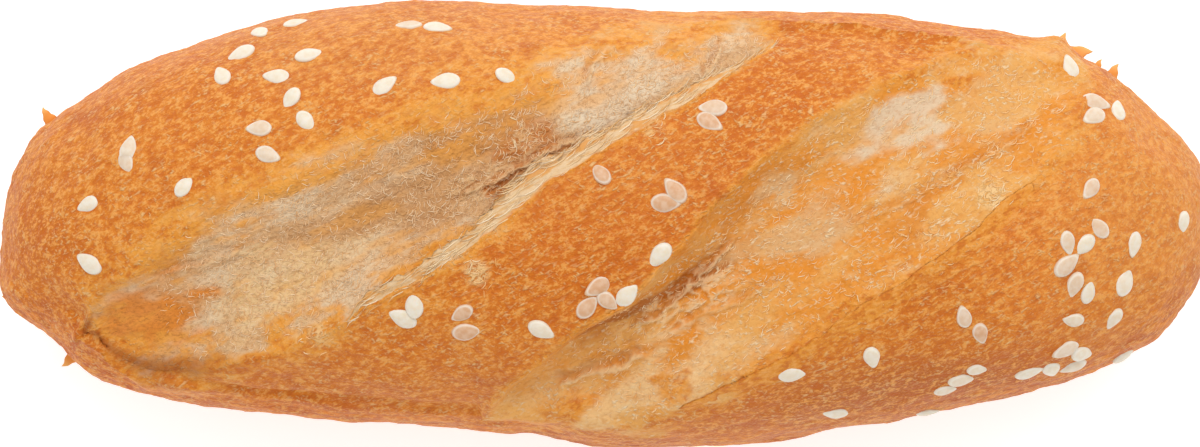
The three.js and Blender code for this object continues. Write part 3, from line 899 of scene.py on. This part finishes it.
# sesame, in short rows where it fell: first x and y, last x and y, count, how rosy, and the headings of
# the first and the last seed in degrees
seedSizes = {
    "length": 0.0034, "width": 0.0023, "thickness": 0.0011, "taper": 0.42, "sunk": 0.0001, "spread": 0.1,
}
seedRows = {
    "leftShoulder": [
        (-0.0462, 0.0179, -0.0421, 0.0234, 3, 0.0, 120, 300),
        (-0.0394, 0.0177, -0.0356, 0.0122, 3, 0.0, 170, 310),
        (-0.0412, 0.0114, -0.0401, 0.0082, 2, 0.3, 180, -20),
        (-0.0356, 0.0204, -0.0378, 0.0246, 2, 0.0, 10, 20),
    ],
    "leftTip": [
        (-0.0573, 0.0090, -0.0575, 0.0073, 2, 0.4, 80, -60),
        (-0.0502, 0.0045, -0.0502, 0.0045, 1, 0.1, 50, 50),
        (-0.0623, 0.0023, -0.0621, -0.0048, 2, 0.2, 200, 150),
    ],
    "back": [
        (-0.0238, 0.0241, -0.0202, 0.0238, 2, 0.3, 180, -10),
        (-0.0263, 0.0165, -0.0116, 0.0176, 3, 0.1, 40, 330),
    ],
    "ridge": [
        (0.0130, 0.0138, 0.0125, 0.0121, 2, 0.8, 180, -30),
        (0.0084, 0.0039, 0.0072, 0.0024, 2, 0.8, 130, 0),
        (-0.0004, 0.0059, -0.0004, 0.0059, 1, 1.0, 130, 130),
        (0.0066, -0.0038, 0.0027, -0.0085, 2, 0.0, -130, 45),
        (-0.0020, -0.0099, -0.0007, -0.0075, 2, 0.9, 50, 210),
        (0.0004, -0.0092, -0.0075, -0.0127, 2, 0.5, -40, -30),
        (-0.0169, -0.0107, -0.0164, -0.0129, 2, 1.0, -145, 10),
        (-0.0226, -0.0096, -0.0240, -0.0113, 2, 0.0, 90, 155),
    ],
    "rightCap": [
        (0.0570, 0.0191, 0.0626, 0.0138, 2, 0.0, 100, 70),
        (0.0597, 0.0147, 0.0593, 0.0130, 2, 0.5, -10, 210),
        (0.0585, 0.0042, 0.0595, -0.0005, 2, 0.6, -130, 135),
        (0.0556, -0.0023, 0.0555, -0.0050, 2, 0.7, -75, 40),
        (0.0577, -0.0026, 0.0567, -0.0117, 2, 0.2, -140, 165),
        (0.0641, -0.0025, 0.0619, -0.0116, 3, 0.5, -100, 250),
        (0.0566, -0.0074, 0.0584, -0.0083, 2, 0.4, -105, 85),
        (0.0706, 0.0, 0.0644, -0.0162, 2, 0.2, -100, 40),
    ],
    "rightFront": [
        (0.0518, -0.0182, 0.0574, -0.0175, 3, 0.2, 15, -155),
        (0.0561, -0.0153, 0.0583, -0.0159, 2, 0.3, -155, -20),
        (0.0431, -0.0112, 0.0452, -0.0132, 2, 0.7, 110, -70),
        (0.0453, -0.0177, 0.0415, -0.0203, 3, 0.2, -10, 0),
        (0.0398, -0.0233, 0.0281, -0.0231, 2, 0.0, 0, 160),
        (0.0321, -0.0161, 0.0225, -0.0181, 2, 0.2, -75, 5),
    ],
}
sesameColours = {
    "cream": (246, 236, 218), "ivory": (242, 226, 200), "rose": (234, 194, 160), "tan": (224, 172, 130),
    "rim": (252, 244, 230), "tip": (226, 186, 140),
}


# one point for each row of numbers: x and y first, then the named attributes
def rowStarts(rows, *names):
    mesh = bpy.data.meshes.new("rowStarts")
    mesh.from_pydata([(row[0], row[1], 0.0) for row in rows], [], [])
    for index, name in enumerate(names):
        layer = mesh.attributes.new(name, "FLOAT", "POINT")
        layer.data.foreach_set("value", [float(row[index + 2]) for row in rows])
    return mesh


# the seed: a flat egg along X that narrows to a small point
def seedShape(tree, seed):
    ball = addNode(tree, "GeometryNodeMeshUVSphere", {"Segments": 16, "Rings": 12, "Radius": 1.0})
    endPoles = {0: ball.outputs["Mesh"], "Rotation": (0.0, math.pi / 2.0, 0.0)}
    turned = addNode(tree, "GeometryNodeTransform", endPoles)
    x, y, z = splitAxes(placeOf(tree))
    shape = keepThree(turned.outputs[0], "seedPlace", x, y, z)
    narrow = 1.0 - seed.taper * x.fade(-0.4, 1.3)
    point = x + 0.06 * x.atLeast(0.0) ** 6.0
    egg = joinAxes(
        tree, point * seed.length / 2.0, y * narrow * seed.width / 2.0, z * narrow * seed.thickness / 2.0
    )
    return movePoints(shape, egg)


def joinPieces(tree, pieces):
    together = addNode(tree, "GeometryNodeJoinGeometry")
    for piece in pieces:
        info = addNode(tree, "GeometryNodeObjectInfo", {"Object": piece})
        feedAll(together, {0: info.outputs["Geometry"]})
    return together.outputs[0]


# points along the rows, dropped onto the loaf with its outward direction kept
def rowPoints(tree, starts, sunk):
    dropHeight = 0.1
    count = keptField(tree, "count")
    more = addNode(tree, "GeometryNodeDuplicateElements", {0: starts, "Amount": count}, domain="POINT")
    share = Field(tree, more.outputs["Duplicate Index"]) / (count - 1.0).atLeast(1.0)
    x, y, _ = splitAxes(placeOf(tree))
    rowX = pick(share, keptField(tree, "endX"), x)
    rowY = pick(share, keptField(tree, "endY"), y)
    points = movePoints(more.outputs[0], joinAxes(tree, rowX, rowY, dropHeight))
    points = keepField(points, "plan", placeOf(tree), "FLOAT_VECTOR")
    ray = addNode(tree, "GeometryNodeRaycast", {
        "Target Geometry": joinPieces(tree, breadPieces), "Ray Direction": (0.0, 0.0, -1.0),
        "Ray Length": 1.0,
    })
    outward = Field(tree, ray.outputs["Hit Normal"])
    points = keepField(points, "outward", outward, "FLOAT_VECTOR")
    heading = pick(share, keptField(tree, "endTurn"), keptField(tree, "turn"))
    points = keepField(points, "heading", heading)
    landed = zip(splitAxes(Field(tree, ray.outputs["Hit Position"])), splitAxes(outward))
    return movePoints(points, joinAxes(tree, *[hit - axis * sunk for hit, axis in landed]))


def layOnPoints(tree, points, shape, heading, size, kind=None):
    outward = keptField(tree, "outward", "FLOAT_VECTOR")
    upright = addNode(tree, "FunctionNodeAlignRotationToVector", {"Vector": outward}, axis="Z")
    spin = addNode(tree, "FunctionNodeAxisAngleToRotation", {"Axis": (0.0, 0.0, 1.0), "Angle": heading})
    turns = {0: upright.outputs[0], 1: spin.outputs[0]}
    turned = addNode(tree, "FunctionNodeRotateRotation", turns, rotation_space="LOCAL")
    laid = addNode(tree, "GeometryNodeInstanceOnPoints", {
        0: points, "Instance": shape, "Rotation": turned.outputs[0],
        "Scale": joinAxes(tree, size, size, size),
    })
    if kind is not None:
        feedAll(laid, {"Pick Instance": True, "Instance Index": kind})
    return laid.outputs[0]


# each seed is turned as its row says, and sized and toned by where it lies
def buildSeedTree(material):
    tree, starts, sizes = sizedTree("sesameSprinkle", seed=seedSizes)
    points = rowPoints(tree, starts, sizes.seed.sunk)
    x, y, _ = keptThree(tree, "plan")
    millimetres = 1000.0
    heading = keptField(tree, "heading") * (math.pi / 180.0)
    size = 1.0 + sizes.seed.spread * ((x * 2.3 - y * 1.1) * millimetres).sin()
    tone = keptField(tree, "rosy") + ((x * 3.1 + y * 4.7) * millimetres).sin() * 0.2
    points = keepField(points, "tone", tone)
    laid = layOnPoints(tree, points, seedShape(tree, sizes.seed), heading, size)
    return finishTree(laid, material)


def buildSesamePaint():
    material, tree, shader, place = newMaterial("sesame")
    tone = readField(tree, "tone")
    x, y, _ = readThree(tree, "seedPlace")
    hull = grain(place, 0.0007, 51, 2.0)
    cream = blend(hull.fade(0.3, 0.7), sesameColours["cream"], sesameColours["ivory"])
    rosy = blend(hull.fade(0.3, 0.7), sesameColours["rose"], sesameColours["tan"])
    colour = blend(tone.fade(0.2, 0.9), cream, rosy)
    radial = (x * x + y * y).root()
    colour = blend(radial.hill(0.84, 0.09) * 0.6, colour, sesameColours["rim"])
    colour = blend(x.fade(0.8, 0.99) * 0.5, colour, sesameColours["tip"])
    feedAll(shader, {
        "Base Color": colour, "Roughness": 0.42, "Specular IOR Level": 0.35, "Subsurface Weight": 0.15,
        "Subsurface Radius": (1.0, 0.7, 0.45), "Subsurface Scale": 0.0008,
    })
    roughen(shader, hull, 0.25, 0.0002)
    return material


allSeedRows = [row for rows in seedRows.values() for row in rows]
seedStarts = rowStarts(allSeedRows, "endX", "endY", "count", "rosy", "turn", "endTurn")
makePiece("sesameSeeds", buildSeedTree(buildSesamePaint()), seedStarts, seed=seedSizes)


# strands of torn crumb and scraps of skin; density is a count for each square metre
strandSizes = {
    "woolFibres": {
        "length": 0.0010, "width": 0.00007, "thickness": 0.00003, "arch": 0.00006, "bend": 0.00028,
        "density": 6500000.0, "heading": 0.5, "turn": 1.3, "spread": 0.4,
    },
    "goldFibres": {
        "length": 0.0010, "width": 0.00008, "thickness": 0.00003, "arch": 0.00006, "bend": 0.0003,
        "density": 1500000.0, "heading": 0.5, "turn": 0.8, "spread": 0.4,
    },
    "skinScraps": {
        "length": 0.0011, "width": 0.00009, "thickness": 0.00003, "arch": 0.00008, "bend": 0.0003,
        "density": 1600000.0, "heading": 0.6, "turn": 1.2, "spread": 0.5,
    },
    "lipFibres": {
        "length": 0.0034, "width": 0.00013, "thickness": 0.00004, "arch": 0.00005, "bend": 0.0005,
        "density": 1300000.0, "heading": 0.52, "turn": 0.12, "spread": 0.4,
    },
}
strandColours = {
    "woolFibres": {"dark": (234, 182, 126), "middle": (246, 204, 154), "pale": (254, 226, 188)},
    "goldFibres": {"dark": (250, 192, 120), "middle": (254, 210, 152), "pale": (255, 228, 186)},
    "skinScraps": {"dark": (246, 182, 110), "middle": (252, 206, 146), "pale": (255, 228, 184)},
    "lipFibres": {"dark": (230, 176, 112), "middle": (240, 206, 158), "pale": (250, 226, 190)},
    "rimFlakes": {"dark": (226, 136, 58), "middle": (238, 156, 76), "pale": (250, 188, 112)},
}


# a strand lies along X, is drawn to a point at both ends, arches up and bends aside in a bow or a wave
def strandShapes(tree, strand):
    alongSteps, aroundSteps = 5, 5
    kinds = addNode(tree, "GeometryNodeJoinGeometry")
    for isBow in (True, False):
        mesh, u, v = sheetGrid(tree, alongSteps, aroundSteps)
        run = u * 2.0 - 1.0
        turn = v * (-2.0 * math.pi)
        girth = (1.0 - run * run).atLeast(0.0).root()
        aside = run.size() ** 2.0 if isBow else run.signed(3.0)
        y = aside * strand.bend + turn.cos() * girth * strand.width / 2.0
        z = (0.7 - run * run) * strand.arch + turn.sin() * girth * strand.thickness / 2.0
        mesh = movePoints(mesh, joinAxes(tree, run * strand.length / 2.0, y, z))
        kind = addNode(tree, "GeometryNodeGeometryToInstance", {0: joinSeams(mesh)})
        feedAll(kinds, {0: kind.outputs[0]})
    return kinds.outputs[0]


def chance(tree, flankAndShade, high, seed):
    return Field(tree, addNode(tree, "FunctionNodeRandomValue", {2: flankAndShade, 3: high, "Seed": seed}).outputs[1])


def strandDensity(tree, name):
    if name == "skinScraps":
        return scrapsAt(placeOf(tree))
    if name == "lipFibres":
        out, onTop, pale = keptThree(tree, "lip")
        return onTop * (out - pale).fade(0.0, 0.2)
    t, _, edge = keptThree(tree, "cutOne" if name == "woolFibres" else "cutTwo")
    _, _, tongues = keptThree(tree, "tornTones")
    _, _, lobes = keptThree(tree, "loose")
    woolly = (edge + lobes).fade(0.0005, 0.0035) * (1.0 - tongues.fade(0.48, 0.60) * 0.8)
    return woolly * edge.fade(0.0, 0.002) * t.fade(0.06, 0.20)


def buildStrandTree(name, pieces, material):
    tree, _, sizes = sizedTree(name, strand=strandSizes[name])
    strand = sizes.strand
    strewn = addNode(tree, "GeometryNodeDistributePointsOnFaces", {
        0: joinPieces(tree, pieces), "Density": strandDensity(tree, name) * strand.density, "Seed": 5,
    })
    x, y, z = splitAxes(Field(tree, strewn.outputs["Normal"]))
    outward = joinAxes(tree, x * 0.4, y * 0.4, z * 0.4 + 0.6)  # less tilted than the rough crumb
    points = keepField(strewn.outputs["Points"], "outward", outward, "FLOAT_VECTOR")
    points = keepField(points, "tone", chance(tree, 0.0, 1.0, 6))
    heading = strand.heading + chance(tree, -1.0, 1.0, 7) * strand.turn
    size = 1.0 + chance(tree, -1.0, 1.0, 8) * strand.spread
    kind = chance(tree, 0.0, 1.99, 9)  # a bow or a wave
    laid = layOnPoints(tree, points, strandShapes(tree, strand), heading, size, kind)
    return finishTree(laid, material)


def buildStrandPaint(name):
    material, tree, shader, _ = newMaterial(name)
    tone = readField(tree, "tone")
    colours = strandColours[name]
    colour = blend(tone.fade(0.05, 0.4), colours["dark"], colours["middle"])
    colour = shade(blend(tone.fade(0.5, 0.95), colour, colours["pale"]), 1.12)  # their sides are in shade
    feedAll(shader, {"Base Color": colour, "Roughness": 0.6, "Specular IOR Level": 0.25})
    return material


for strandName, strandPieces in (
    ("woolFibres", breadPieces[1:2]), ("goldFibres", breadPieces[2:3]), ("skinScraps", breadPieces),
    ("lipFibres", lipPieces),
):
    strandTree = buildStrandTree(strandName, strandPieces, buildStrandPaint(strandName))
    makePiece(strandName, strandTree, strand=strandSizes[strandName])


# flakes that stand out from the rim, hooked at the tip: x, side of the loaf, length and lean
flakeSizes = {"root": 1.2, "width": 1.9, "thickness": 0.5, "hook": 0.3}
flakeRows = {
    "backTall": (0.0568, 1.0, 0.0021, 0.0), "backLow": (0.0582, 1.0, 0.0026, 1.15),
    "backPoint": (0.0614, 1.0, 0.0010, 0.3), "backTip": (0.0632, 1.0, 0.0015, 0.3),
    "leftBack": (-0.0695, 1.0, 0.0011, -0.7), "leftTip": (-0.0736, -1.0, 0.0014, -1.4),
    "leftFront": (-0.0664, -1.0, 0.0014, -0.6),
}


def buildFlakeTree(material):
    alongSteps, aroundSteps = 14, 9
    tree, starts, sizes = sizedTree("rimFlakes", loaf=loafSizes, flake=flakeSizes)
    loaf, flake = sizes.loaf, sizes.flake
    x, _, _ = splitAxes(placeOf(tree))
    side = keptField(tree, "side")
    y = middleLineAt(loaf, x) + side * halfWidthAt(loaf, x)
    points = movePoints(starts, joinAxes(tree, x, y, loaf.belt))
    points = keepThree(points, "outward", 0.0, 0.0, 1.0)
    heading = side * (math.pi / 2.0 - keptField(tree, "lean"))

    # one flake along X, a flat spike one unit long beyond its root
    mesh, u, v = sheetGrid(tree, alongSteps, aroundSteps)
    turn = v * (-2.0 * math.pi)
    girth = (1.0 - u).atLeast(0.0) ** 0.8 * (u * 12.0).atMost(1.0)
    spikeY = turn.cos() * girth * flake.width / 2.0 + (u * 17.0).sin() * 0.05 - u ** 3.0 * flake.hook
    spikeZ = turn.sin() * girth * flake.thickness / 2.0
    mesh = movePoints(mesh, joinAxes(tree, u * (1.0 + flake.root) - flake.root, spikeY, spikeZ))
    mesh = keepField(mesh, "tone", u)
    laid = layOnPoints(tree, points, joinSeams(mesh), heading, keptField(tree, "length"))
    return finishTree(laid, material)


flakeStarts = rowStarts([(x, 0.0, *others) for x, *others in flakeRows.values()], "side", "length", "lean")
flakeTree = buildFlakeTree(buildStrandPaint("rimFlakes"))
makePiece("rimFlakes", flakeTree, flakeStarts, loaf=loafSizes, flake=flakeSizes)


# floor, light and camera
stageSizes = {
    "cameraHeight": 0.515, "lens": 120.4, "cameraX": -0.0005, "roomLight": 0.80, "floorGlow": 0.5,
    "keyPower": 2.7, "keyPlace": (0.05, 0.42, 0.62), "keyWidth": 0.8, "keyDepth": 0.4,
    "floorWidth": 4.0, "floorDrop": 0.0002,
}


def setFloor():
    bpy.ops.mesh.primitive_plane_add(size=stageSizes["floorWidth"], location=(0.0, 0.0, 0.0))
    floor = bpy.context.object
    floor.name = "paleFloor"
    for corner in floor.data.vertices:
        corner.co.z = -stageSizes["floorDrop"]
    material, _, shader, place = newMaterial("palePaper")
    paper = blend(grain(place, 0.4, 61), (250, 250, 250), (254, 254, 254))
    feedAll(shader, {
        "Base Color": paper, "Roughness": 0.9, "Emission Color": (1.0, 1.0, 1.0, 1.0),
        "Emission Strength": stageSizes["floorGlow"],
    })
    floor.data.materials.append(material)


def setLight():
    world = bpy.data.worlds.new("whiteRoom")
    world.use_nodes = True
    room = world.node_tree.nodes["Background"]
    feedAll(room, {"Color": (1.0, 1.0, 1.0, 1.0), "Strength": stageSizes["roomLight"]})
    scene.world = world
    key = bpy.data.lights.new("softKey", "AREA")
    key.shape = "RECTANGLE"
    key.size = stageSizes["keyWidth"]
    key.size_y = stageSizes["keyDepth"]
    key.energy = stageSizes["keyPower"]
    lamp = bpy.data.objects.new("softKey", key)
    lamp.location = stageSizes["keyPlace"]
    lamp.rotation_euler = (-Vector(stageSizes["keyPlace"])).to_track_quat("-Z", "Y").to_euler()
    scene.collection.objects.link(lamp)


def setCamera():
    camera = bpy.data.cameras.new("overhead")
    camera.sensor_width = 36.0
    camera.lens = stageSizes["lens"]
    camera.clip_start = 0.01
    view = bpy.data.objects.new("overhead", camera)
    view.location = (stageSizes["cameraX"], 0.0, stageSizes["cameraHeight"])
    scene.collection.objects.link(view)
    scene.camera = view


setFloor()
setLight()
setCamera()
print("floor, light and camera set")
